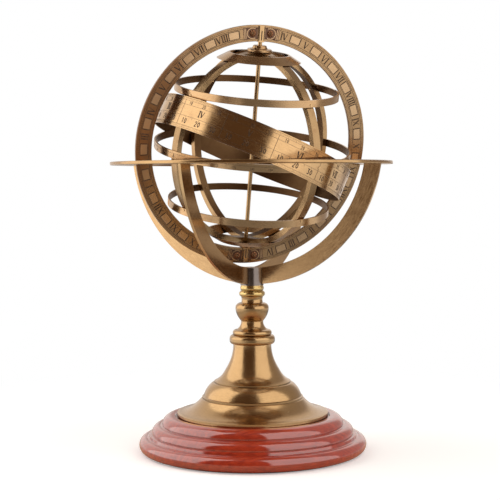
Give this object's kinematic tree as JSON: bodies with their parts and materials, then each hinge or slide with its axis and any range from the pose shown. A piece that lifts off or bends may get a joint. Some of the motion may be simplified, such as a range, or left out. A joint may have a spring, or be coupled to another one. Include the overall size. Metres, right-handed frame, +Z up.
{
  "type": "armillary sphere",
  "caption": "Brass armillary sphere on a turned red-wood base: nested rings turn on a tilted polar rod inside a meridian ring that tips in a horizon ring on crossed arcs.",
  "frame": {"origin": "bottom centre of the felt pad, on the pillar's axis", "axes": "+Z up the pillar, +X along the tilt pivots of the meridian ring, -Y towards the side that the north pole leans to"},
  "size_m": [0.304, 0.304, 0.4574],
  "materials": {
    "antique_brass": "brushed, brown patina in the recesses",
    "engraved_brass": "brushed, engraved, dark filling in the engraving",
    "turned_brass": "lathe-turned, satin lacquer",
    "bright_brass": "polished",
    "dark_bronze": "blackened, satin",
    "red_wood": "red-brown stain under gloss lacquer",
    "felt": "matt felt",
    "steel": "zinc plated"
  },
  "bodies": {
    "stand": {"felt_pad": "felt", "wood_base": "red_wood", "base_washer": "steel", "base_nut": "steel", "tie_rod": "steel", "pedestal_cone": "turned_brass", "collar_ring": "turned_brass", "baluster": "turned_brass", "bead_ring": "bright_brass", "cradle_hub": "dark_bronze", "cradle_arc_1": "antique_brass", "cradle_arc_2": "antique_brass", "horizon_ring": "engraved_brass", "horizon_screws": "bright_brass", "pivot_pins": "steel"},
    "meridian": {"meridian_ring": "engraved_brass", "north_pole_bracket": "antique_brass", "south_pole_bracket": "antique_brass", "bracket_rivets": "bright_brass"},
    "sphere": {"polar_rod": "bright_brass", "north_hub": "antique_brass", "south_hub": "antique_brass", "solstice_colure": "antique_brass", "equinox_colure": "antique_brass", "arctic_ring": "antique_brass", "cancer_ring": "antique_brass", "equator_ring": "antique_brass", "capricorn_ring": "antique_brass", "antarctic_ring": "antique_brass", "zodiac_band": "engraved_brass", "band_rivets": "bright_brass"}
  },
  "joints": [
    {"name": "meridian_tilt", "type": "hinge", "parent": "stand", "child": "meridian", "pos_m": [0, 0, 0.3126], "axis": [1, 0, 0], "range_deg": [-37.9, 12.1]},
    {"name": "sphere_turn", "type": "hinge", "parent": "meridian", "child": "sphere", "pos_m": [0, -0.00405, 0.3303], "axis": [0, -0.2233, 0.9748], "continuous": true}
  ]
}
